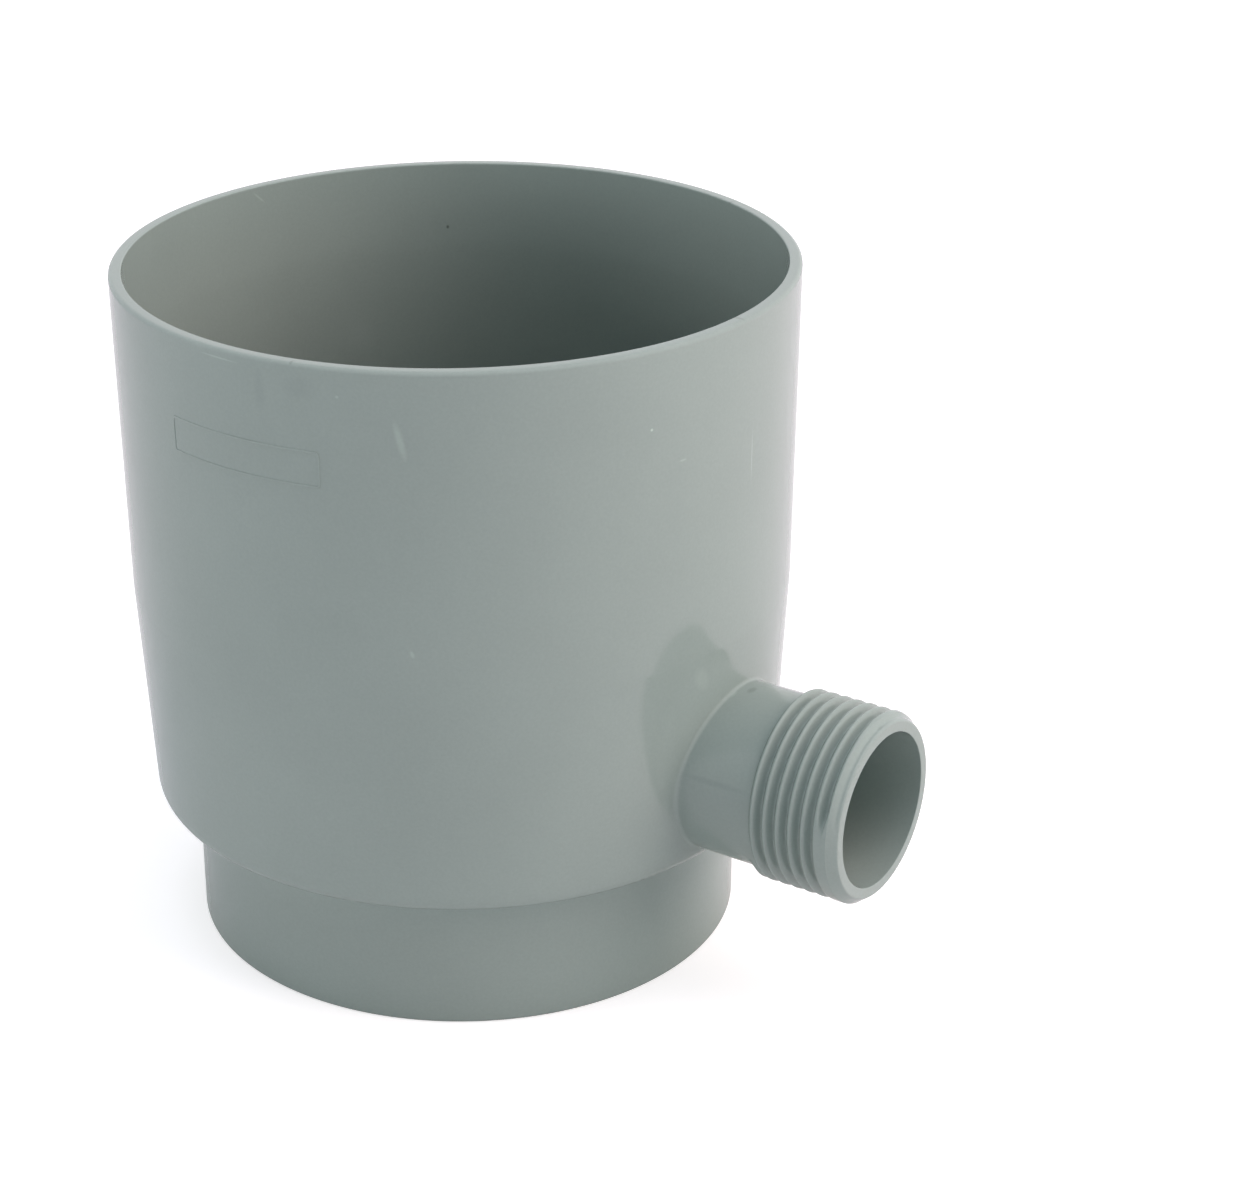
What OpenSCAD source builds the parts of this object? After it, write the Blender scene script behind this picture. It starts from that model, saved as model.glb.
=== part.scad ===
// Rainwater diverter: a one-piece moulded cup with a threaded side outlet.
// A downpipe enters the cup from above. What runs down its wall falls into the ring trough
// and leaves by the outlet, and what overflows drops through the standpipe and the spigot.
// Origin: on the cup's axis, at the lower end of the spigot. +Z is up, +X follows the outlet.

/* [Socket] */
// Bore of the socket's straight stretch, for pipes up to 110 mm
socket_bore = 110.8; // [100:0.1:130]
// Depth of the socket from the rim down to the pipe stop
socket_depth = 55.5; // [40:0.5:80]
// Width by which the lead-in is wider than the bore on each side at the rim
lead_in_w = 0.4; // [0.2:0.1:0.8]
// Height of the lead-in below the rim
lead_in_h = 16; // [6:1:30]
// Width of the pipe stop
stop_w = 1; // [0.6:0.1:1.6]

/* [Outside] */
// Thickness of the wall at the rim
rim_wall = 2.2; // [1.8:0.1:3]
// Radius that rounds the rim's outer edge
rim_round = 0.7; // [0.3:0.1:1]
// Draft of the outside wall from the rim down to the pipe stop, in degrees
upper_draft = 0.6; // [0.2:0.1:0.8]
// Draft of the outside wall from the pipe stop down to the lower edge, in degrees
lower_draft = 3; // [1:0.25:4]
// Radius that rounds the lower edge of the outside wall
lower_edge_r = 2.5; // [1:0.25:4]

/* [Trough] */
// Depth of the trough from the pipe stop down to its floor
trough_depth = 38.2; // [34:0.1:50]
// Width of the trough between the outside wall and the standpipe, at the floor
trough_w = 15.2; // [10:0.1:20]
// Thickness of the outside wall at the floor
trough_wall = 2.3; // [1.8:0.1:3]
// Thickness of the floor
floor_t = 1.5; // [1.2:0.1:3]
// Radius of the fillets where the floor meets the wall and the standpipe
trough_fillet = 2; // [1:0.25:3]

/* [Standpipe] */
// Wall thickness of the standpipe
standpipe_wall = 2.2; // [1.8:0.1:3]
// Rise of the standpipe's lip above the top line of the outlet's bore
lip_rise = 4.3; // [2:0.1:7]
// Radius that rounds both edges of the standpipe's lip
lip_round = 0.8; // [0.3:0.1:0.9]

/* [Spigot] */
// Step from the socket's bore in to the outside of the spigot, on each side
spigot_step = 7; // [6:0.1:10]
// Length of the spigot below the cup
spigot_h = 25.3; // [18:0.1:40]
// Wall thickness of the spigot
spigot_wall = 2.2; // [1.8:0.1:3]
// Width and height of the bevel round the spigot's lower edge
spigot_bevel = 0.4; // [0.3:0.1:1]

/* [Outlet] */
// Bore of the outlet
outlet_bore = 26.6; // [20:0.1:30]
// Rise from the trough's floor to the lowest line of the bore
bore_rise = 0.3; // [0.1:0.1:1]
// Wall thickness of the plain neck
neck_wall = 1.7; // [1.4:0.1:2.4]
// Length of the plain neck from the cup's wall to the thread
neck_len = 10.6; // [4:0.1:20]
// Height of the thread's crests above the neck, nominal 1 inch pipe thread
thread_depth = 1.4; // [1.1:0.1:1.7]
// Length from the start of the thread to the mouth
thread_len = 17.9; // [12:0.1:26]
// Length of the slope from the neck up to the crests
thread_start = 0.8; // [0.4:0.1:1.2]
// Length of the bevel in front of the thread
mouth_bevel_len = 1.6; // [0.8:0.1:2.6]
// Depth of the bevel in front of the thread
mouth_bevel_depth = 1.3; // [0.6:0.1:1.8]

/* [Hidden] */
$fn = 180;
arc_steps = 8;
overcut = 1;
floor_z = spigot_h + floor_t;
stop_z = floor_z + trough_depth;
rim_z = stop_z + socket_depth;
socket_r = socket_bore / 2;
mouth_r = socket_r + lead_in_w;
rim_r = mouth_r + rim_wall;
spigot_r = socket_r - spigot_step;
bore_r = outlet_bore / 2;
neck_r = bore_r + neck_wall;
thread_r = neck_r + thread_depth;
outlet_z = floor_z + bore_rise + bore_r;
neck_end = outer_r(outlet_z) + neck_len;
outlet_end = neck_end + thread_len;
lower_edge_z = spigot_h + lower_edge_r;
lower_edge_c = outer_r(lower_edge_z - lower_edge_r * sin(lower_draft)) - lower_edge_r * cos(lower_draft);
trough_r = outer_r(lower_edge_z) - trough_wall;
standpipe_r = trough_r - trough_w;
overflow_r = standpipe_r - standpipe_wall;
lip_z = outlet_z + bore_r + lip_rise;

// Outside radius of the cup at height z
function outer_r(z) =
  let (stop_r = rim_r - socket_depth * tan(upper_draft))
  z >= stop_z
    ? rim_r - (rim_z - z) * tan(upper_draft)
    : stop_r - (stop_z - z) * tan(lower_draft);

// Points of a round corner about the centre c, from angle a0 to angle a1
function corner(c, r, a0, a1) =
  [for (i = [0 : arc_steps]) let (a = a0 + (a1 - a0) * i / arc_steps) c + r * [cos(a), sin(a)]];

// Outside of the cup and its spigot as one solid of revolution, before it is hollowed
module cup_outside() {
  rim_c = [outer_r(rim_z - rim_round) - rim_round, rim_z - rim_round];
  rotate_extrude()
    polygon(concat(
      [[0, 0], [spigot_r - spigot_bevel, 0], [spigot_r, spigot_bevel], [spigot_r, spigot_h]],
      corner([lower_edge_c, lower_edge_z], lower_edge_r, -90, -lower_draft),
      [[outer_r(stop_z), stop_z]],
      corner(rim_c, rim_round, 0, 90),
      [[0, rim_z]]
    ));
}

// Socket for the downpipe, and below it the ring trough round the standpipe
module cup_hollow() {
  lip_round_z = lip_z - lip_round;
  rotate_extrude()
    polygon(concat(
      [[0, rim_z + overcut], [0, lip_round_z]],
      corner([overflow_r + lip_round, lip_round_z], lip_round, 180, 90),
      corner([standpipe_r - lip_round, lip_round_z], lip_round, 90, 0),
      corner([standpipe_r + trough_fillet, floor_z + trough_fillet], trough_fillet, 180, 270),
      corner([trough_r - trough_fillet, floor_z + trough_fillet], trough_fillet, -90, 0),
      [[socket_r - stop_w, stop_z], [socket_r, stop_z], [socket_r, rim_z - lead_in_h]],
      [[mouth_r, rim_z], [mouth_r, rim_z + overcut]]
    ));
}

// Way of the overflow, open right through the standpipe and the spigot
module overflow_way() {
  translate([0, 0, -overcut])
    cylinder(r = spigot_r - spigot_wall, h = spigot_h + overcut);
  cylinder(r = overflow_r, h = lip_z);
}

// Neck, threaded end at its major diameter, and bevelled mouth, turned about the outlet's axis
module outlet_stub() {
  root = min(lower_edge_c, trough_r);
  along_outlet()
    rotate_extrude()
      polygon([
        [0, root],
        [neck_r, root],
        [neck_r, neck_end],
        [thread_r, neck_end + thread_start],
        [thread_r, outlet_end - mouth_bevel_len],
        [thread_r - mouth_bevel_depth, outlet_end],
        [0, outlet_end]
      ]);
}

// Bore of the outlet from the trough to the mouth
module outlet_way() {
  bore_start = trough_r - trough_fillet - overcut;
  along_outlet()
    translate([0, 0, bore_start])
      cylinder(r = bore_r, h = outlet_end + overcut - bore_start);
}

// Puts a shape that is turned about Z onto the outlet's axis, pointing along +X
module along_outlet() {
  translate([0, 0, outlet_z])
    rotate([0, 90, 0])
      children();
}

module diverter_body() {
  color("#a3aea8")
    difference() {
      union() {
        cup_outside();
        outlet_stub();
      }
      cup_hollow();
      overflow_way();
      outlet_way();
    }
}

diverter_body();
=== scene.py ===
"""Looks of a rainwater diverter: a cup moulded in grey PVC with a threaded side outlet.

Shapes are worked out in millimetres as grids of points, and go into the meshes in metres.
The origin is on the cup's axis at the lower end of the spigot. +Z is up, +X follows the outlet.
"""

import logging
import math
from dataclasses import dataclass, field
from enum import Enum
from typing import Any

import bmesh
import bpy
import numpy as np
from mathutils import Matrix, Vector

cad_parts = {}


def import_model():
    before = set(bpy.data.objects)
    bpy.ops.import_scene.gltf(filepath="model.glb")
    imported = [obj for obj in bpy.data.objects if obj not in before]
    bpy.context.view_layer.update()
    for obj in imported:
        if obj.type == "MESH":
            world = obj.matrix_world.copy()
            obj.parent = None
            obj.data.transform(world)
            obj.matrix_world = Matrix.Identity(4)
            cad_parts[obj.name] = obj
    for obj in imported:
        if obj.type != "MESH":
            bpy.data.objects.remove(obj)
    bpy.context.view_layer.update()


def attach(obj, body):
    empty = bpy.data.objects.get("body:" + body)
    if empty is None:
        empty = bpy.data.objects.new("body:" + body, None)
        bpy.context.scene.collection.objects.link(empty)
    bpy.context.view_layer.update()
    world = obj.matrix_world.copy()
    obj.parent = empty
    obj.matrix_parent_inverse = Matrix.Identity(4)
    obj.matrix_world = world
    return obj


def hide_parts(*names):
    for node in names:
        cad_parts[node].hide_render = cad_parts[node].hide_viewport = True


log = logging.getLogger("rainwater_diverter")

Values = float | np.ndarray

MM = 0.001
BODY = "root"
WHITE = (1.0, 1.0, 1.0, 1.0)
# Points closer than this are one point, and faces that meet at more than this keep a hard edge.
MERGE_MM = 0.001
SHARP_DEGREES = 32
# Pieces of a rounded corner, and points on the exact arc and wall that rows are read from.
CORNER_STEPS = 5
ARC_POINTS = 90
WALL_POINTS = 60
# Rows of the net on the level stretch and on the arcs of the two bands, and on the root's fillet.
LEVEL_STEPS = 2
OUTER_ARC_ROWS = 7
INNER_ARC_ROWS = 5
ROOT_ROWS = 9
# Half of a mark's depth, which is enough to reach the surface that it lies on.
MARK_DEPTH_MM = 1.5


def linear_colour(code: str) -> tuple[float, float, float, float]:
    """Turns an sRGB hex colour into linear red, green, blue and alpha.

    Args:
        code: the colour as "#rrggbb".

    Returns:
        Linear values by the sRGB curve: v / 12.92 below 0.04045, else ((v + 0.055) / 1.055) ^ 2.4.
    """
    srgb = np.array([int(code[i : i + 2], 16) for i in (1, 3, 5)]) / 255
    linear = np.where(srgb <= 0.04045, srgb / 12.92, ((srgb + 0.055) / 1.055) ** 2.4)
    return (*(float(v) for v in linear), 1.0)


def add_node(tree: bpy.types.NodeTree, kind: str, inputs: dict[Any, Any],
             **settings: Any) -> bpy.types.Node:
    """Adds a node to a tree, with its settings and what goes into its sockets.

    Args:
        tree: the material's or world's node tree.
        kind: Blender's name of the node's type.
        inputs: for each socket's name or number, a value, or the socket that it is linked from,
            or a node whose first output it is linked from.
        settings: the node's own properties.

    Returns:
        The new node.
    """
    node = tree.nodes.new(kind)
    for name, value in settings.items():
        setattr(node, name, value)
    for name, value in inputs.items():
        if isinstance(value, bpy.types.Node):
            value = value.outputs[0]
        if isinstance(value, bpy.types.NodeSocket):
            tree.links.new(value, node.inputs[name])
        else:
            node.inputs[name].default_value = value
    return node


def ray_kinds(tree: bpy.types.NodeTree) -> tuple[bpy.types.NodeSocket, bpy.types.Node]:
    """Adds the nodes that tell what a ray is for.

    Args:
        tree: the material's or world's node tree.

    Returns:
        1 for a ray from the camera, and 1 for a ray that is mirrored or passes through glass.
    """
    path = add_node(tree, "ShaderNodeLightPath", {}).outputs
    mirrored = add_node(
        tree, "ShaderNodeMath", {0: path["Is Glossy Ray"], 1: path["Is Transmission Ray"]},
        operation="MAXIMUM",
    )
    return path["Is Camera Ray"], mirrored


def new_object(name: str, data: bpy.types.ID) -> bpy.types.Object:
    """Puts a mesh, lamp or camera into the scene as an object at the origin.

    Args:
        name: name of the object.
        data: what it holds.

    Returns:
        The object.
    """
    made = bpy.data.objects.new(name, data)
    bpy.context.scene.collection.objects.link(made)
    return made


def cumulative_length(path: np.ndarray) -> np.ndarray:
    """Length along a path of points, from its first point to each of them."""
    return np.concatenate([[0.0], np.cumsum(np.linalg.norm(np.diff(path, axis=0), axis=1))])


def smooth_step(value: np.ndarray, low: float, high: float) -> np.ndarray:
    """Goes from 0 at low to 1 at high along 3 t squared less 2 t cubed."""
    t = np.clip((value - low) / (high - low), 0, 1)
    return t * t * (3 - 2 * t)


@dataclass(frozen=True)
class Corner:
    """Corner of a section: distance from the axis, height, and radius of its rounding, in mm."""

    r: float
    z: float
    rounding: float = 0.0


def rounded_path(corners: list[Corner], hold: float = 0.15) -> np.ndarray:
    """Path through corners, with an arc in place of each one but the first and the last.

    Where the two sides meet at the angle 2a, the arc touches them rounding / tan(a) from the corner
    and its centre lies rounding / sin(a) from the corner on the line that halves the angle. A point
    a little beyond each end of the arc keeps the arc's shading off the straight sides.

    Args:
        corners: the corners in order, the first and last of them the path's ends.
        hold: distance of the holding points from the arc's ends.

    Returns:
        The points as (count, 2), each its distance from the axis and its height.
    """
    spots = np.array([[corner.r, corner.z] for corner in corners])
    parts = [spots[:1]]
    for corner, before, p, after in zip(corners[1:-1], spots[:-2], spots[1:-1], spots[2:]):
        u, v = before - p, after - p
        u, v = u / np.linalg.norm(u), v / np.linalg.norm(v)
        half = math.acos(float(np.clip(u @ v, -1, 1))) / 2
        touch = corner.rounding / math.tan(half)
        bisector = (u + v) / np.linalg.norm(u + v)
        centre = p + bisector * corner.rounding / math.sin(half)
        first, last = p + u * touch - centre, p + v * touch - centre
        start = math.atan2(first[1], first[0])
        sweep = (math.atan2(last[1], last[0]) - start + math.pi) % (2 * math.pi) - math.pi
        angle = start + sweep * np.linspace(0, 1, CORNER_STEPS + 1)
        arc = centre + corner.rounding * np.stack([np.cos(angle), np.sin(angle)], 1)
        parts.append(np.concatenate([[p + u * (touch + hold)], arc, [p + v * (touch + hold)]]))
    parts.append(spots[-1:])
    return np.concatenate(parts)


class SurfaceNet:
    """Grids of points that are joined into one surface."""

    def __init__(self) -> None:
        """Starts with no grid."""
        self.grids: list[np.ndarray] = []

    def add(self, grid: np.ndarray) -> None:
        """Takes a grid of points in mm, as (rows, columns, 3)."""
        self.grids.append(grid)

    def mesh(self, name: str) -> bpy.types.Mesh:
        """Joins the grids into one mesh in metres, with four-sided faces that point outwards.

        Grids meet where their edge points coincide.

        Args:
            name: name of the mesh.

        Returns:
            The mesh, shaded smooth but for its sharp edges.
        """
        quads, start = [], 0
        for grid in self.grids:
            rows, columns = grid.shape[:2]
            i = start + np.arange(rows * columns).reshape(rows, columns)
            around = (i[:-1, :-1], i[1:, :-1], i[1:, 1:], i[:-1, 1:])
            quads.append(np.stack(around, -1).reshape(-1, 4))
            start += rows * columns
        points = np.concatenate([grid.reshape(-1, 3) for grid in self.grids]) * MM
        corners = np.concatenate(quads)
        mesh = bpy.data.meshes.new(name)
        mesh.vertices.add(len(points))
        mesh.vertices.foreach_set("co", points.astype(np.float32).ravel())
        mesh.loops.add(corners.size)
        mesh.loops.foreach_set("vertex_index", corners.astype(np.int32).ravel())
        mesh.polygons.add(len(corners))
        mesh.polygons.foreach_set("loop_start", np.arange(0, corners.size, 4, dtype=np.int32))
        mesh.update(calc_edges=True)
        shell = bmesh.new()
        shell.from_mesh(mesh)
        bmesh.ops.remove_doubles(shell, verts=shell.verts, dist=MERGE_MM * MM)
        bmesh.ops.recalc_face_normals(shell, faces=shell.faces)
        open_edges = sum(not edge.is_manifold for edge in shell.edges)
        log.info("%s: %d faces, %d open edges", name, len(shell.faces), open_edges)
        shell.to_mesh(mesh)
        shell.free()
        mesh.shade_smooth()
        mesh.set_sharp_from_angle(angle=math.radians(SHARP_DEGREES))
        return mesh


def add_piece(name: str, net: SurfaceNet, plastic: bpy.types.Material) -> bpy.types.Object:
    """Makes a piece from its net, dresses it in the plastic, and ties it to the frame's body.

    Args:
        name: name of the piece.
        net: its surface.
        plastic: the moulding's material.

    Returns:
        The piece, at the origin.
    """
    piece = new_object(name, net.mesh(name))
    piece.data.materials.append(plastic)
    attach(piece, BODY)
    log.info("%s is made of %s and rides on %s", name, plastic.name, BODY)
    return piece


def turned(path: np.ndarray, theta: np.ndarray) -> np.ndarray:
    """Turns a section about Z: (r, z) at the angle theta goes to (r cos theta, r sin theta, z).

    Args:
        path: the section as (count, 2).
        theta: the angles in radians.

    Returns:
        The grid as (count, angles, 3).
    """
    r, z = path[:, :1], path[:, 1:]
    height = z + 0 * theta
    return np.stack([r * np.cos(theta), r * np.sin(theta), height], -1)


@dataclass(frozen=True)
class Band:
    """Stretch of the cup's section that the outlet breaks through.

    The path starts level and then runs upwards, and rows holds the lengths along it at which the
    net has its rows.
    """

    path: np.ndarray
    rows: np.ndarray

    def at(self, s: np.ndarray) -> tuple[np.ndarray, np.ndarray]:
        """Distance from the axis and height at the length s along the path."""
        length = cumulative_length(self.path)
        return np.interp(s, length, self.path[:, 0]), np.interp(s, length, self.path[:, 1])

    def length_at(self, z: np.ndarray) -> np.ndarray:
        """Length along the path at the height z, past its level stretch."""
        length = cumulative_length(self.path)
        return np.interp(z, self.path[LEVEL_STEPS:, 1], length[LEVEL_STEPS:])

    def radius_at(self, z: np.ndarray) -> np.ndarray:
        """Distance from the axis at the height z, past the path's level stretch."""
        return self.at(self.length_at(z))[0]

    def points(self, theta: np.ndarray, s: np.ndarray) -> np.ndarray:
        """Points of the turned wall at the angles theta and the lengths s."""
        r, z = self.at(s)
        return np.stack([r * np.cos(theta), r * np.sin(theta), z], -1)


@dataclass
class Cup:
    """Cup with its socket, trough, standpipe and spigot, turned about Z. All sizes in mm.

    Sizes that end in round, fillet or blend are radii: of an outer edge, of an inner one, and of a
    slight bend in a wall. Drafts are in degrees.
    """

    socket_r: float = 55.4
    mouth_r: float = 55.8
    mouth_round: float = 0.25
    rim_r: float = 58.0
    rim_z: float = 120.5
    rim_round: float = 0.7
    lead_in_h: float = 16.0
    lead_in_blend: float = 6.0
    stop_z: float = 65.0
    stop_w: float = 1.0
    plain_round: float = 0.2
    upper_draft: float = 0.6
    lower_draft: float = 3.0
    draft_blend: float = 8.0
    lower_edge_r: float = 2.5
    floor_z: float = 26.8
    floor_in_band: float = 3.0
    trough_fillet: float = 2.0
    trough_wall: float = 2.3
    trough_w: float = 15.2
    standpipe_wall: float = 2.2
    lip_z: float = 58.0
    lip_round: float = 0.8
    spigot_r: float = 48.4
    spigot_h: float = 25.3
    spigot_wall: float = 2.2
    spigot_fillet: float = 0.4
    spigot_bevel: float = 0.4
    bevel_round: float = 0.25
    bevel_blend: float = 0.4
    ledge_fillet: float = 0.5
    ledge_kept: float = 2.0
    outlet_z: float = 40.4
    band_top: float = 62.5
    columns: int = 320

    @property
    def side(self) -> int:
        """Columns from the outlet's middle to the side of the window round it."""
        return self.columns // 16

    def outer_r(self, z: Values) -> Values:
        """Outside radius: two drafted stretches that meet at the pipe stop.

        From the rim down, the radius falls by the tangent of the draft for each millimetre.

        Args:
            z: the height.

        Returns:
            The radius at that height.
        """
        upper, lower = (math.tan(math.radians(a)) for a in (self.upper_draft, self.lower_draft))
        fall = upper * (self.rim_z - np.maximum(z, self.stop_z))
        return self.rim_r - fall - lower * np.maximum(self.stop_z - z, 0)

    @property
    def edge_z(self) -> float:
        """Height of the centre of the lower edge's rounding."""
        return self.spigot_h + self.lower_edge_r

    @property
    def edge_r(self) -> float:
        """Place of the centre of the lower edge's rounding, whose arc touches the drafted wall.

        Returns:
            Its distance from the axis.
        """
        draft = math.radians(self.lower_draft)
        touch = self.edge_z - self.lower_edge_r * math.sin(draft)
        return self.outer_r(touch) - self.lower_edge_r * math.cos(draft)

    @property
    def trough_r(self) -> float:
        """Outside radius of the trough at its floor."""
        return self.outer_r(self.edge_z) - self.trough_wall

    def band(self, start: float, centre: tuple[float, float], radius: float, end: float,
             top: tuple[float, float], arc_rows: int) -> Band:
        """Band of a level stretch, an arc and a straight wall.

        The arc starts at its lowest point and turns outwards up to the angle end, and from there
        the wall runs straight to the band's top.

        Args:
            start: distance from the axis at which the level stretch starts.
            centre: centre of the arc.
            radius: radius of the arc.
            end: angle at which the arc ends, from the horizontal.
            top: distance from the axis and height of the wall's upper end.
            arc_rows: rows on the arc.

        Returns:
            The band, whose middle row lies at the outlet's height.
        """
        angle = np.linspace(-math.pi / 2, end, ARC_POINTS)
        arc = np.array(centre) + radius * np.stack([np.cos(angle), np.sin(angle)], 1)
        level = np.linspace((start, arc[0, 1]), (centre[0], arc[0, 1]), LEVEL_STEPS + 1)
        share = np.linspace(0, 1, WALL_POINTS)[1:, None]
        straight = arc[-1] + share * (np.array(top) - arc[-1])
        path = np.concatenate([level[:-1], arc, straight])
        length = cumulative_length(path)
        arc_first, arc_last = LEVEL_STEPS, LEVEL_STEPS + ARC_POINTS - 1
        middle = np.interp(self.outlet_z, path[arc_first:, 1], length[arc_first:])
        wall_rows = self.side - LEVEL_STEPS - arc_rows
        rows = np.concatenate([
            length[:arc_first],
            np.linspace(length[arc_first], length[arc_last], arc_rows + 1)[:-1],
            np.linspace(length[arc_last], middle, wall_rows + 1)[:-1],
            np.linspace(middle, length[-1], self.side + 1),
        ])
        return Band(path, rows)

    def outer_band(self) -> Band:
        """Works out the band of the outside.

        Returns:
            The band from the ledge over the spigot up the wall.
        """
        start = self.spigot_r + self.ledge_kept
        centre = (self.edge_r, self.edge_z)
        end = -math.radians(self.lower_draft)
        top = (self.outer_r(self.band_top), self.band_top)
        return self.band(start, centre, self.lower_edge_r, end, top, OUTER_ARC_ROWS)

    def inner_band(self) -> Band:
        """Works out the band of the inside.

        Returns:
            The band from the trough's floor up its wall, on the line to the pipe stop.
        """
        fillet = self.trough_fillet
        centre = (self.trough_r - fillet, self.floor_z + fillet)
        start = centre[0] - self.floor_in_band
        share = (self.band_top - centre[1]) / (self.stop_z - centre[1])
        top_r = self.trough_r + share * (self.socket_r - self.stop_w - self.trough_r)
        return self.band(start, centre, fillet, 0.0, (top_r, self.band_top), INNER_ARC_ROWS)

    def over_rim(self, outer: Band, inner: Band) -> np.ndarray:
        """Works out the section over the rim and the pipe stop.

        Args:
            outer: the band that it starts from.
            inner: the band that it ends at.

        Returns:
            The section from the outer band's top to the inner band's top.
        """
        stop_inner = self.socket_r - self.stop_w
        return rounded_path([
            Corner(*outer.path[-1]),
            Corner(self.outer_r(self.stop_z), self.stop_z, self.draft_blend),
            Corner(self.rim_r, self.rim_z, self.rim_round),
            Corner(self.mouth_r, self.rim_z, self.mouth_round),
            Corner(self.socket_r, self.rim_z - self.lead_in_h, self.lead_in_blend),
            Corner(self.socket_r, self.stop_z, self.plain_round),
            Corner(stop_inner, self.stop_z, self.plain_round),
            Corner(*inner.path[-1]),
        ])

    def under_floor(self, outer: Band, inner: Band) -> np.ndarray:
        """Works out the section over the standpipe and down the spigot.

        Args:
            outer: the band that it ends at.
            inner: the band that it starts from.

        Returns:
            The section from the trough's floor to the ledge over the spigot.
        """
        pipe_r = self.trough_r - self.trough_w
        flow_r = pipe_r - self.standpipe_wall
        inside_r = self.spigot_r - self.spigot_wall
        bevel = self.spigot_bevel
        return rounded_path([
            Corner(*inner.path[0]),
            Corner(pipe_r, self.floor_z, self.trough_fillet),
            Corner(pipe_r, self.lip_z, self.lip_round),
            Corner(flow_r, self.lip_z, self.lip_round),
            Corner(flow_r, self.spigot_h, self.plain_round),
            Corner(inside_r, self.spigot_h, self.spigot_fillet),
            Corner(inside_r, 0.0, self.plain_round),
            Corner(self.spigot_r - bevel, 0.0, self.bevel_round),
            Corner(self.spigot_r, bevel, self.bevel_blend),
            Corner(self.spigot_r, self.spigot_h, self.ledge_fillet),
            Corner(*outer.path[0]),
        ])

    def add_to(self, net: SurfaceNet, outer: Band, inner: Band) -> None:
        """Adds the whole cup but for the two windows that the outlet's patches fill.

        Args:
            net: the moulding's net.
            outer: the outside's band.
            inner: the inside's band.
        """
        step = 2 * math.pi / self.columns
        full = step * np.arange(self.columns + 1)
        beside_window = step * np.arange(self.side, self.columns - self.side + 1)
        for band in (outer, inner):
            net.add(turned(np.stack(band.at(band.rows), 1), beside_window))
        net.add(turned(self.over_rim(outer, inner), full))
        net.add(turned(self.under_floor(outer, inner), full))


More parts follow.
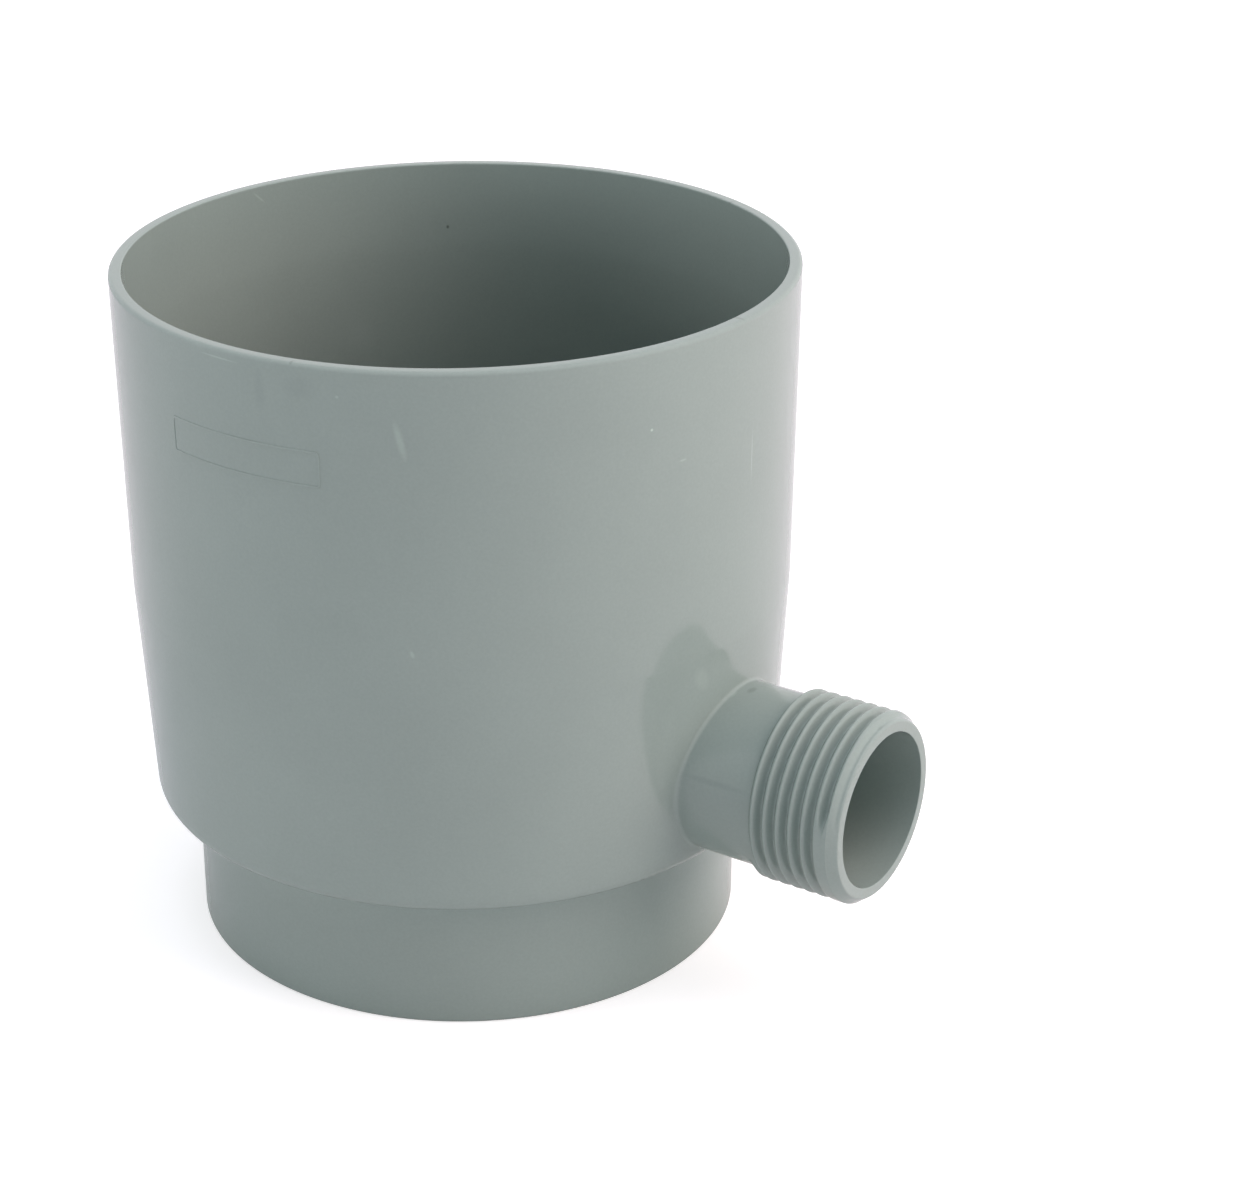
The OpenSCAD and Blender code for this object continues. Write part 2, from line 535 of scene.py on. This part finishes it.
@dataclass
class Outlet:
    """Side outlet along +X: root, plain neck, thread, bevelled mouth and bore. All sizes in mm.

    A place on it is given by x, by the distance rho from its axis, and by the angle phi about the
    axis, which counts from +Y over +Z. A turn is a whole turn of that angle.
    """

    bore_r: float = 13.3
    bore_round: float = 0.12
    bore_edge: float = 2.0
    neck_r: float = 15.0
    root_fillet: float = 0.7
    ledge_gap: float = 0.02
    probe: float = 0.04
    crest_r: float = 16.4
    thread_from: float = 65.4
    end: float = 84.63
    bevel_len: float = 1.6
    face_r: float = 15.1
    lip_len: float = 0.24
    lip_round: float = 0.4
    lip_rise: float = 0.55
    lip_hold: float = 0.05
    pitch: float = 2.35
    crest_at: float = 67.99
    crest_power: float = 0.9
    # The turn at which the ridge starts, and the turns that it takes to rise.
    first_turn: float = -0.41
    rise_turns: float = 0.09
    # The mould's parting line in degrees, and the turns past it between which the fill comes and
    # goes. It fills the groove after the crest last_groove, and those past it.
    parting: float = 166.0
    fill_comes: tuple[float, float] = (-0.02, 0.03)
    fill_goes: tuple[float, float] = (0.46, 0.5)
    last_groove: int = 5
    # Depth of the groove's run-out in the bevel, and the pitches past the crest last_groove
    # between which the full groove gives way to it.
    run_out: float = 0.3
    run_out_from: tuple[float, float] = (1.0, 1.3)
    row_step: float = 0.14
    rings: int = 9
    ring_power: float = 1.3

    def surface_x(self, cup: Cup, band: Band, rho: Values, phi: np.ndarray) -> np.ndarray:
        """X of a turned wall over a point: the root of the wall's r squared less y squared."""
        r = band.radius_at(cup.outlet_z + rho * np.sin(phi))
        return np.sqrt(r**2 - (rho * np.cos(phi)) ** 2)

    def tube_point(self, cup: Cup, x: np.ndarray, rho: Values, phi: np.ndarray) -> np.ndarray:
        """Points (x, rho cos phi, the axis's height plus rho sin phi)."""
        x, rho, phi = np.broadcast_arrays(x, rho, phi)
        return np.stack([x, rho * np.cos(phi), cup.outlet_z + rho * np.sin(phi)], -1)

    def frame_of(self, cup: Cup, band: Band) -> tuple[np.ndarray, np.ndarray]:
        """Points round the window that a band leaves for the outlet.

        They start at the middle of the side towards +Y and go up, across, down, back and up again,
        in step with the angle phi of the outlet's columns.

        Args:
            cup: the cup.
            band: the band on the outside or the inside.

        Returns:
            Their angles about the cup's axis, and their lengths along the band's path.
        """
        side, last = cup.side, 2 * cup.side
        theta = 2 * math.pi / cup.columns * np.arange(-side, side + 1)
        rows, down = band.rows, np.arange(last, 0, -1)
        angles = [np.full(side, theta[-1]), theta[down], np.full(last, theta[0]),
                  theta[:last], np.full(side + 1, theta[-1])]
        lengths = [rows[side:last], np.full(last, rows[-1]), rows[down],
                   np.full(last, rows[0]), rows[: side + 1]]
        return np.concatenate(angles), np.concatenate(lengths)

    def patch(self, cup: Cup, band: Band, rho: Values, phi: np.ndarray) -> np.ndarray:
        """Rings of the wall between the outlet's loop and the window round it.

        Each ring lies a share of the way from the loop to the window, taken in the wall's own
        angle and length, so that all its points lie on the turned wall.

        Args:
            cup: the cup.
            band: the wall's band.
            rho: distance of the loop from the outlet's axis.
            phi: angles of the outlet's columns.

        Returns:
            The grid as (rings, columns, 3).
        """
        loop_x = self.surface_x(cup, band, rho, phi)
        loop_theta = np.arctan2(rho * np.cos(phi), loop_x)
        loop_length = band.length_at(cup.outlet_z + rho * np.sin(phi))
        frame_theta, frame_length = self.frame_of(cup, band)
        share = np.linspace(0, 1, self.rings)[:, None] ** self.ring_power
        return band.points(loop_theta + share * (frame_theta - loop_theta),
                           loop_length + share * (frame_length - loop_length))

    @property
    def bevel_slope(self) -> float:
        """Fall of the bevel's radius for each millimetre towards the mouth."""
        return (self.crest_r - self.face_r) / self.bevel_len

    @property
    def lip_start(self) -> float:
        """Place along the outlet at which the bevel passes into the mouth's edge."""
        return self.end - self.lip_len

    def thread_r(self, x: np.ndarray, phi: np.ndarray) -> np.ndarray:
        """Radius of the threaded end.

        The phase is u = (x - crest_at) / pitch - phi / 2 pi, a whole number on every crest. The
        ridge's height is a power of half of 1 + cos 2 pi u, and the ridge rises out of the neck
        over a small part of a turn. The groove is what the ridge leaves. In the half of the mould
        beyond the parting line the last grooves are filled, and the fill is taken off the groove,
        which ends in a point there. The bevel cuts what stands above it. Past the last full groove
        only a shallow one runs on into the bevel, and it ends before the lip.

        Args:
            x: places along the outlet.
            phi: angles of the outlet's columns.

        Returns:
            The radius at each place and angle.
        """
        turn = (phi % (2 * math.pi)) / (2 * math.pi)
        u = (x - self.crest_at) / self.pitch - turn
        ridge = (0.5 + 0.5 * np.cos(2 * math.pi * u)) ** self.crest_power
        ridge *= smooth_step(np.round(u) + turn, self.first_turn, self.first_turn + self.rise_turns)
        past_line = turn - self.parting / 360
        filled = smooth_step(past_line, *self.fill_comes) - smooth_step(past_line, *self.fill_goes)
        groove = np.maximum(1 - ridge - filled * (np.floor(u) >= self.last_groove), 0)
        past = smooth_step(u - self.last_groove, *self.run_out_from)
        lip = smooth_step(x, self.lip_start - self.lip_rise, self.lip_start)
        thread = self.crest_r - groove * (1 - past) * (self.crest_r - self.neck_r)
        bevel = self.crest_r - self.bevel_slope * (x - self.end + self.bevel_len)
        return np.minimum(thread, bevel) - self.run_out * groove * past * (1 - lip)

    def root_curve(self, cup: Cup, outer: Band, phi: np.ndarray) -> tuple[np.ndarray, np.ndarray]:
        """Fillet where the neck leaves the wall.

        It is a curve with three guide points: where it leaves the wall, where the wall's tangent
        there meets the neck's line, and one fillet's length along the neck. They weigh (1 - t)
        squared, 2 t (1 - t) and t squared, with t from 0 to 1. Under the neck there is less room
        for it: the ledge is (outlet_z - spigot_h) / -sin phi from the outlet's axis. The sine is
        held at 0.2 or more, where the room is ample.

        Args:
            cup: the cup.
            outer: the outside's band.
            phi: angles of the outlet's columns.

        Returns:
            Places x and distances rho of the fillet's rows.
        """
        drop = cup.outlet_z - cup.spigot_h - self.ledge_gap
        room = drop / np.maximum(-np.sin(phi), 0.2) - self.neck_r
        fillet = np.minimum(self.root_fillet, room)
        foot = self.neck_r + fillet
        foot_x = self.surface_x(cup, outer, foot, phi)
        near_x = self.surface_x(cup, outer, foot - self.probe, phi)
        guide_x = foot_x + fillet * (near_x - foot_x) / self.probe
        t = np.linspace(0, 1, ROOT_ROWS)[:, None]
        x = (1 - t) ** 2 * foot_x + 2 * t * (1 - t) * guide_x + t**2 * (guide_x + fillet)
        rho = (1 - t) ** 2 * foot + (1 - (1 - t) ** 2) * self.neck_r
        return x, rho

    def add_to(self, net: SurfaceNet, cup: Cup, outer: Band, inner: Band) -> None:
        """Adds the outlet and the patches of wall round both its ends to the net.

        Args:
            net: the moulding's net.
            cup: the cup.
            outer: the outside's band.
            inner: the inside's band.
        """
        columns = cup.columns // 2
        phi = 2 * math.pi * np.arange(columns + 1) / columns
        root_x, root_rho = self.root_curve(cup, outer, phi)
        along_neck = np.array([0.04, 0.3, 0.6, 0.9])[:, None]
        neck_x = root_x[-1] + along_neck * (self.thread_from - root_x[-1])
        thread_x = np.arange(self.thread_from, self.lip_start, self.row_step)[:, None]
        bore_start = self.end - self.bore_edge
        mouth = rounded_path([
            Corner(self.face_r + self.bevel_slope * self.lip_len, self.lip_start),
            Corner(self.face_r, self.end, self.lip_round),
            Corner(self.bore_r, self.end, self.bore_round),
            Corner(self.bore_r, bore_start),
        ], hold=self.lip_hold)
        along_bore = np.array([0.25, 0.5, 0.75, 0.98, 1.0])[:, None]
        bore_x = bore_start + along_bore * (
            self.surface_x(cup, inner, self.bore_r, phi) - bore_start)
        stretches = (
            (root_x, root_rho),
            (neck_x, self.neck_r),
            (thread_x, self.thread_r(thread_x, phi)),
            (mouth[:, 1:], mouth[:, :1]),
            (bore_x, self.bore_r),
        )
        net.add(np.concatenate([self.tube_point(cup, x, rho, phi) for x, rho in stretches]))
        net.add(self.patch(cup, outer, root_rho[0], phi))
        net.add(self.patch(cup, inner, self.bore_r, phi))


@dataclass
class Body:
    """The whole moulding: the cup and its outlet as one closed surface."""

    cup: Cup = field(default_factory=Cup)
    outlet: Outlet = field(default_factory=Outlet)

    def build(self, plastic: bpy.types.Material) -> None:
        """Makes the moulding, which stands for the frame's node.

        Args:
            plastic: its material.
        """
        net = SurfaceNet()
        outer, inner = self.cup.outer_band(), self.cup.inner_band()
        self.cup.add_to(net, outer, inner)
        self.outlet.add_to(net, self.cup, outer, inner)
        moulding = add_piece("moulded_body", net, plastic)
        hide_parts("diverter_body")


@dataclass
class BlankField:
    """Blank field on the wall: a thin raised line round an empty oblong. All sizes in mm."""

    theta: float = -90.0
    z: float = 103.5
    width: float = 29.6
    height: float = 5.7
    corner: float = 0.5
    line_w: float = 0.45
    proud: float = 0.13
    sunk: float = 0.08
    spacing: float = 0.4

    def build(self, cup: Cup, plastic: bpy.types.Material) -> None:
        """Makes the raised line.

        Its section, a low bar with rounded shoulders, is carried along the oblong's outline in the
        plane of the wall's girth and height. The girth over the rim's radius is the angle, and the
        section's height is added to the wall's radius.

        Args:
            cup: the cup whose wall it stands on.
            plastic: its material.
        """
        outline = self.outline()
        # The outline starts and ends in the middle of its level lower side.
        step = np.gradient(outline, axis=0)
        step[0] = step[-1] = (1, 0)
        normal = np.stack([step[:, 1], -step[:, 0]], 1) / np.linalg.norm(step, axis=1)[:, None]
        foot, shoulder, top = -self.sunk, 0.75 * self.proud, self.proud
        across = np.array([-1.1, -1.0, -0.8, -0.45, 0.45, 0.8, 1.0, 1.1, 0.0, -1.1])
        across *= self.line_w / 2
        up = np.array([foot, 0.0, shoulder, top, top, shoulder, 0.0, foot, foot, foot])
        girth = outline[:, :1] + normal[:, :1] * across
        z = self.z + outline[:, 1:] + normal[:, 1:] * across
        r = cup.outer_r(z) + up
        angle = math.radians(self.theta) + girth / cup.rim_r
        net = SurfaceNet()
        net.add(np.stack([r * np.cos(angle), r * np.sin(angle), z], -1))
        add_piece("blank_field_line", net, plastic)

    def outline(self) -> np.ndarray:
        """Oblong with rounded corners, with points added evenly along it.

        Returns:
            The points as (count, 2), girth and height from the field's middle.
        """
        w, h, corner = self.width / 2, self.height / 2, self.corner
        path = rounded_path([
            Corner(0, -h), Corner(w, -h, corner), Corner(w, h, corner),
            Corner(-w, h, corner), Corner(-w, -h, corner), Corner(0, -h),
        ])
        length = cumulative_length(path)
        even = np.arange(0, length[-1], self.spacing)
        s = np.unique(np.round(np.concatenate([length, even]), 6))
        return np.stack([np.interp(s, length, path[:, 0]), np.interp(s, length, path[:, 1])], 1)


class Tone(Enum):
    """How a mark changes the plastic's colour: by a factor on its brightness."""

    # Lightens rubbed places, and also paints a glint on the outlet's root.
    RUB_AND_GLINT = 1.18
    # Lightens a smudge of painted reflection where the wall mirrors the outlet.
    PAINTED_REFLECTION = 1.08
    SPECK = 1.6
    SHADE = 0.95
    SEAM = 0.93
    SCUFF = 0.8
    NICK = 0.45


@dataclass(frozen=True)
class Mark:
    """Small mark of wear, or a spot of painted light: an oval round a place. Lengths in mm, angles
    in degrees.

    The half sizes are its depth, its girth and its height, and it is turned about X and then Z.
    """

    place: tuple[float, float, float]
    half: tuple[float, float, float]
    tone: Tone
    lean: float = 0.0
    turn: float = 0.0


def on_wall(theta: float, z: float, wide: float, tall: float, tone: Tone,
            lean: float = 0.0, r: float = 57.9) -> Mark:
    """Mark on a turned wall.

    Args:
        theta: its angle about the cup's axis, in degrees from +X.
        z: its height.
        wide: its half size along the wall's girth.
        tall: its half size upwards.
        tone: what it does to the colour.
        lean: how far it leans over on the wall, in degrees.
        r: the wall's radius there.

    Returns:
        The mark.
    """
    a = math.radians(theta)
    place = (r * math.cos(a), r * math.sin(a), z)
    return Mark(place, (MARK_DEPTH_MM, wide, tall), tone, lean, theta)


def on_outlet(x: float, phi: float, rho: float, long: float, high: float, tone: Tone) -> Mark:
    """Mark on the outlet.

    Args:
        x: its place along the outlet.
        phi: its angle about the outlet's axis, in degrees.
        rho: its distance from that axis.
        long: its half size along the outlet.
        high: its half size upwards.
        tone: what it does to the colour.

    Returns:
        The mark.
    """
    a = math.radians(phi)
    place = (x, rho * math.cos(a), Cup.outlet_z + rho * math.sin(a))
    return Mark(place, (long, MARK_DEPTH_MM, high), tone)


MARKS = (
    # Rubs, scratches and shaded places on the outside of the wall, and a painted reflection.
    on_wall(-62.4, 109.4, 0.75, 3.8, Tone.RUB_AND_GLINT, 14),
    on_wall(-61.5, 73.5, 0.45, 0.9, Tone.RUB_AND_GLINT, 20),
    on_wall(0.9, 96.5, 0.22, 5.2, Tone.RUB_AND_GLINT),
    on_wall(-16.4, 101.0, 0.9, 0.25, Tone.RUB_AND_GLINT),
    # Painted reflection: a lighter smudge in the outlet's mirror image on the wall.
    on_wall(-10.8, 60.8, 1.8, 3.1, Tone.PAINTED_REFLECTION, 32, r=57.2),
    on_wall(-22.6, 107.5, 0.3, 0.3, Tone.SPECK),
    on_wall(-71.9, 115.9, 0.35, 0.3, Tone.RUB_AND_GLINT),
    on_wall(-85.0, 115.2, 1.3, 4.2, Tone.SHADE),
    on_wall(-78.2, 116.6, 3.4, 2.4, Tone.SHADE),
    # Knocks on the rim, and a speck and a scratch inside it.
    on_wall(-92.8, 119.0, 4.2, 0.2, Tone.RUB_AND_GLINT, -1.5),
    on_wall(-79.4, 120.5, 0.35, 0.5, Tone.SCUFF),
    on_wall(-2.3, 120.5, 0.5, 0.5, Tone.SCUFF, r=56.6),
    on_wall(128.0, 108.4, 0.35, 0.45, Tone.NICK, r=55.5),
    on_wall(166.1, 118.4, 1.9, 0.25, Tone.RUB_AND_GLINT, 42, r=55.7),
    on_wall(102.4, 120.4, 0.6, 0.4, Tone.RUB_AND_GLINT, r=56.5),
    on_wall(66.0, 120.4, 0.5, 0.4, Tone.SCUFF, r=55.9),
    # Knocks on the outlet, a painted glint on its root's fillet, and the seam that the mould's
    # halves leave along its neck.
    on_outlet(59.4, 90.0, 15.0, 0.8, 0.5, Tone.SCUFF),
    # Painted highlight: a glint on the root's fillet.
    on_outlet(57.5, 101.0, 15.3, 0.4, 0.6, Tone.RUB_AND_GLINT),
    on_outlet(84.1, 95.2, 15.6, 0.35, 0.35, Tone.SCUFF),
    on_outlet(61.0, 163.5, 15.0, 7.0, 0.7, Tone.SEAM),
    on_outlet(61.0, 343.5, 15.0, 7.0, 0.7, Tone.SEAM),
)


@dataclass(frozen=True)
class MouldedPvc:
    """Grey PVC-U as it comes out of a polished mould.

    The eye sees an even mid grey with a hint of green under a clear, fairly sharp surface
    reflection, which is strong only where the surface turns away. The skin has a very weak
    orange-peel waviness and faint clouding from the flow of the melt. Its grain is really some
    hundredths of a millimetre wide, and is drawn half a millimetre wide so that it shows.
    """

    name: str = "moulded_grey_pvc"
    base: str = "#8d9b95"
    ior: float = 1.53
    roughness: tuple[float, float] = (0.08, 0.13)
    cloud_mm: float = 28.0
    grain_mm: float = 0.5
    peel_mm: float = 2.2
    unevenness: float = 0.025
    peel_depth_mm: float = 0.02
    peel_strength: float = 0.12
    grain_depth_mm: float = 0.006
    grain_strength: float = 0.10
    mark_core: float = 0.35

    def build(self, marks: tuple[Mark, ...]) -> bpy.types.Material:
        """Makes the material with its clouding, grain, orange peel, marks of wear and two spots of
        painted light.

        Args:
            marks: the marks, each a factor on the colour.

        Returns:
            The material.
        """
        material = bpy.data.materials.new(self.name)
        material.use_nodes = True
        tree = material.node_tree
        tree.nodes.clear()
        place = add_node(tree, "ShaderNodeTexCoord", {}).outputs["Object"]
        cloud, grain, peel = (
            add_node(tree, "ShaderNodeTexNoise",
                     {"Vector": place, "Scale": 1 / (size_mm * MM), "Detail": detail})
            for size_mm, detail in ((self.cloud_mm, 3), (self.grain_mm, 2), (self.peel_mm, 1))
        )
        dark, light = 1 - self.unevenness, 1 + self.unevenness
        cloud_tone, grain_tone, rough = (
            add_node(tree, "ShaderNodeMapRange",
                     {"Value": noise, "From Min": 0.5 - spread, "From Max": 0.5 + spread,
                      "To Min": low, "To Max": high})
            for noise, spread, low, high in (
                (cloud, 0.2, dark, light),
                (grain, 0.25, dark, light),
                (cloud, 0.2, *self.roughness),
            )
        )
        tone = add_node(
            tree, "ShaderNodeMath", {0: cloud_tone, 1: grain_tone}, operation="MULTIPLY")
        for mark in marks:
            tone = self.marked(tree, place, mark, tone)
        colour = add_node(
            tree, "ShaderNodeVectorMath", {0: linear_colour(self.base)[:3], "Scale": tone},
            operation="SCALE",
        )
        waves = add_node(
            tree, "ShaderNodeBump",
            {"Strength": self.peel_strength, "Distance": self.peel_depth_mm * MM, "Height": peel},
        )
        fine = add_node(
            tree, "ShaderNodeBump",
            {"Strength": self.grain_strength, "Distance": self.grain_depth_mm * MM,
             "Height": grain, "Normal": waves},
        )
        shader = add_node(
            tree, "ShaderNodeBsdfPrincipled",
            {"Base Color": colour, "Roughness": rough, "IOR": self.ior, "Normal": fine},
        )
        add_node(tree, "ShaderNodeOutputMaterial", {"Surface": shader})
        return material

    def marked(self, tree: bpy.types.NodeTree, place: bpy.types.NodeSocket, mark: Mark,
               tone: bpy.types.Node) -> bpy.types.Node:
        """Lays one mark over the brightness: an oval that fades from its core to its edge.

        Args:
            tree: the material's node tree.
            place: the Object coordinates.
            mark: the mark.
            tone: the brightness before it.

        Returns:
            The brightness after it.
        """
        local = add_node(
            tree, "ShaderNodeMapping",
            {"Vector": place, "Location": Vector(mark.place) * MM,
             "Rotation": (math.radians(mark.lean), 0.0, math.radians(mark.turn)),
             "Scale": Vector(mark.half) * MM},
            vector_type="TEXTURE",
        )
        away = add_node(tree, "ShaderNodeVectorMath", {0: local}, operation="LENGTH")
        factor = add_node(
            tree, "ShaderNodeMapRange",
            {"Value": away.outputs["Value"], "From Min": self.mark_core,
             "To Min": mark.tone.value},
        )
        return add_node(tree, "ShaderNodeMath", {0: tone, 1: factor}, operation="MULTIPLY")


@dataclass(frozen=True)
class WhitePaper:
    """Matt white paper, rolled out under the object.

    The eye sees plain white with the object's soft shadow in it. A glow for the camera and a
    weaker one for mirrored rays bring it up to white without lighting the object.
    """

    name: str = "white_paper"
    colour: str = "#d8d8d8"
    camera_glow: float = 0.6
    mirror_glow: float = 0.14

    def build(self) -> bpy.types.Material:
        """Makes the material.

        Returns:
            The material.
        """
        material = bpy.data.materials.new(self.name)
        material.use_nodes = True
        tree = material.node_tree
        tree.nodes.clear()
        to_camera, to_mirror = (
            add_node(tree, "ShaderNodeMath", {0: kind, 1: strength}, operation="MULTIPLY")
            for kind, strength in zip(ray_kinds(tree), (self.camera_glow, self.mirror_glow))
        )
        shown = add_node(tree, "ShaderNodeMath", {0: to_camera, 1: to_mirror}, operation="ADD")
        paper = add_node(tree, "ShaderNodeBsdfDiffuse", {"Color": linear_colour(self.colour)})
        glow = add_node(tree, "ShaderNodeEmission", {"Color": WHITE, "Strength": shown})
        white = add_node(tree, "ShaderNodeAddShader", {0: paper, 1: glow})
        add_node(tree, "ShaderNodeOutputMaterial", {"Surface": white})
        return material


@dataclass
class PhotoCamera:
    """Camera at the photograph's viewing angle. Lengths in mm, angles in degrees, image in px."""

    distance: float = 459.73
    height: float = 265.95
    azimuth: float = 36.6
    yaw: float = 0.992
    pitch: float = 24.474
    roll: float = -0.8215
    focal_px: float = 2853.5
    centre_px: float = 508.0
    image_w: int = 1254
    sensor: float = 36.0
    near: float = 10.0
    far: float = 50000.0

    def build(self) -> None:
        """Makes the camera and hands it to the scene.

        With the azimuth at 0 the camera stands on -Y, looks along +Y, turned by the yaw and
        lowered by the pitch, and then rolls about its line of sight. All of it turns about Z.
        """
        yaw, pitch, roll = (math.radians(a) for a in (self.yaw, self.pitch, self.roll))
        forward = Vector((
            math.sin(yaw) * math.cos(pitch), math.cos(yaw) * math.cos(pitch), -math.sin(pitch)))
        level = Vector((math.cos(yaw), -math.sin(yaw), 0))
        upright = level.cross(forward)
        right = math.cos(roll) * level + math.sin(roll) * upright
        up = -math.sin(roll) * level + math.cos(roll) * upright
        pose = Matrix((right, up, -forward)).transposed().to_4x4()
        pose.translation = Vector((0, -self.distance, self.height)) * MM
        data = bpy.data.cameras.new("photo_camera")
        data.sensor_width = self.sensor
        data.lens = self.focal_px * self.sensor / self.image_w
        data.shift_x = 0.5 - self.centre_px / self.image_w
        data.clip_start, data.clip_end = self.near * MM, self.far * MM
        camera = new_object("photo_camera", data)
        camera.matrix_world = Matrix.Rotation(math.radians(self.azimuth), 4, "Z") @ pose
        bpy.context.scene.camera = camera


@dataclass(frozen=True)
class Lamp:
    """Square lamp behind the tent's cloth, turned to the middle of the cup.

    Glossy edges mirror the cloth's white and not the lamp. The angle counts from the camera to the
    right, and the rise from the horizon. Angles are in degrees, lengths in metres, and the power
    in watts.
    """

    name: str
    angle: float
    rise: float
    size: float
    power: float
    colour: str
    away: float = 1.3
    aim: float = 0.07

    def build(self, camera_azimuth: float) -> None:
        """Makes the lamp, turned towards its aim on the cup's axis.

        Args:
            camera_azimuth: where the camera stands about Z, in degrees from -Y.
        """
        data = bpy.data.lights.new(self.name, "AREA")
        data.size = self.size
        data.energy = self.power
        data.color = linear_colour(self.colour)[:3]
        lamp = new_object(self.name, data)
        lamp.visible_glossy = False
        a, e = math.radians(camera_azimuth + self.angle), math.radians(self.rise)
        towards = Vector((math.sin(a) * math.cos(e), -math.cos(a) * math.cos(e), math.sin(e)))
        turn = towards.to_track_quat("Z", "Y").to_matrix().to_4x4()
        place = towards * self.away + Vector((0, 0, self.aim))
        lamp.matrix_world = Matrix.Translation(place) @ turn


@dataclass(frozen=True)
class TentGlow:
    """Glow of the tent that grows between two heights, from -1 straight down to 1 straight up."""

    none_at: float
    full_at: float
    strength: float
    colour: str


@dataclass
class Studio:
    """White paper in a light tent that glows at the horizon and overhead, with two lamps."""

    camera_azimuth: float = PhotoCamera.azimuth
    glows: tuple[TentGlow, ...] = (
        TentGlow(0.5, 0.0, 1.66, "#f0f8ff"),
        TentGlow(0.8, 1.0, 3.36, "#f2f3ff"),
    )
    lamps: tuple[Lamp, ...] = (
        Lamp("key_lamp", 75, 35, 1.2, 17.5, "#ffeae7"),
        Lamp("fill_lamp", -90, 13, 0.5, 4.4, "#fff2f2"),
    )
    floor_half: float = 3000.0

    def build(self) -> None:
        """Sets up the tent, the paper and the lamps, and the plain view transform."""
        bpy.context.scene.view_settings.view_transform = "Standard"
        self.build_tent()
        self.build_floor()
        for lamp in self.lamps:
            lamp.build(self.camera_azimuth)

    def build_tent(self) -> None:
        """World that looks plain white, and lights the object from round it and from above."""
        world = bpy.data.worlds.new("light_tent")
        bpy.context.scene.world = world
        world.use_nodes = True
        tree = world.node_tree
        tree.nodes.clear()
        direction = add_node(tree, "ShaderNodeTexCoord", {}).outputs["Generated"]
        height = add_node(tree, "ShaderNodeSeparateXYZ", {0: direction}).outputs["Z"]
        camera, mirrored = ray_kinds(tree)
        seen = add_node(tree, "ShaderNodeMath", {0: camera, 1: mirrored}, operation="MAXIMUM")
        hidden = add_node(tree, "ShaderNodeMath", {0: 1.0, 1: seen}, operation="SUBTRACT")
        whole = add_node(tree, "ShaderNodeBackground", {"Color": WHITE, "Strength": seen})
        for glow in self.glows:
            share = add_node(
                tree, "ShaderNodeMapRange",
                {"Value": height, "From Min": glow.none_at, "From Max": glow.full_at,
                 "To Max": glow.strength},
            )
            strength = add_node(
                tree, "ShaderNodeMath", {0: share, 1: hidden}, operation="MULTIPLY")
            light = add_node(
                tree, "ShaderNodeBackground",
                {"Color": linear_colour(glow.colour), "Strength": strength},
            )
            whole = add_node(tree, "ShaderNodeAddShader", {0: whole, 1: light})
        add_node(tree, "ShaderNodeOutputWorld", {"Surface": whole})

    def build_floor(self) -> None:
        """Square of paper under the object: the points (x, y, 0) up to its half width."""
        side = np.array([-self.floor_half, self.floor_half])
        x, y = np.meshgrid(side, side)
        net = SurfaceNet()
        net.add(np.stack([x, y, 0 * x], -1))
        floor = new_object("floor", net.mesh("floor"))
        floor.data.materials.append(WhitePaper().build())


def main() -> None:
    """Builds the pieces in order and dresses them, then sets up the studio and the camera."""
    logging.basicConfig(level=logging.INFO, format="%(name)s: %(message)s")
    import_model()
    plastic = MouldedPvc().build(MARKS)
    body = Body()
    body.build(plastic)
    BlankField().build(body.cup, plastic)
    Studio().build()
    PhotoCamera().build()


if __name__ == "__main__":
    main()
